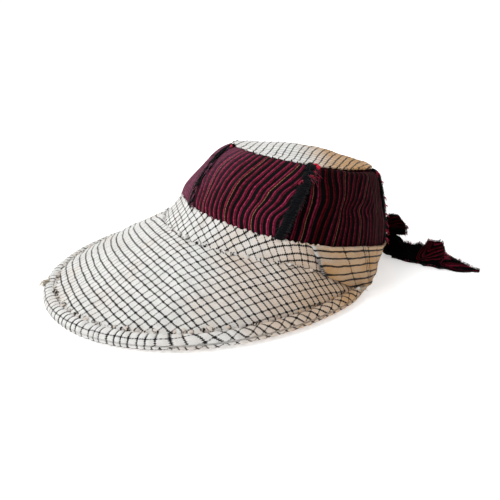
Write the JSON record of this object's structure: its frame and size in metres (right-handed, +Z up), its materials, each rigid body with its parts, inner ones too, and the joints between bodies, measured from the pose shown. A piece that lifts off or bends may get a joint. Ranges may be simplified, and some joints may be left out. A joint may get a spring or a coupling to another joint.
{
  "type": "checkered cap",
  "caption": "Soft checkered cap with a wide arched peak, a padded rolled edge, a striped crown side and a cloth tie behind.",
  "frame": {"origin": "middle of the cap's footprint, on the table it lies on", "axes": "+Z up from the table, -Y the way the peak points, +X the wearer's left"},
  "size_m": [0.2332, 0.343, 0.1053],
  "materials": {
    "check_cream": "matt woven cotton",
    "check_tan": "matt woven cotton",
    "stripe_cloth": "matt woven cotton",
    "selvedge_black": "matt woven cotton"
  },
  "bodies": {
    "root": {"crown_top": "check_cream", "panel_left_front": "stripe_cloth", "panel_left_rear": "stripe_cloth", "panel_back": "stripe_cloth", "panel_right_rear": "stripe_cloth", "panel_right_front": "stripe_cloth", "joint_front": "selvedge_black", "joint_left": "selvedge_black", "joint_rear_left": "selvedge_black", "joint_rear_right": "selvedge_black", "joint_right": "selvedge_black", "front_band": "check_cream", "back_band": "check_tan", "peak": "check_cream", "peak_binding": "check_cream", "tie_knot": "stripe_cloth", "tie_loop": "stripe_cloth", "tie_tail": "stripe_cloth"}
  },
  "joints": []
}
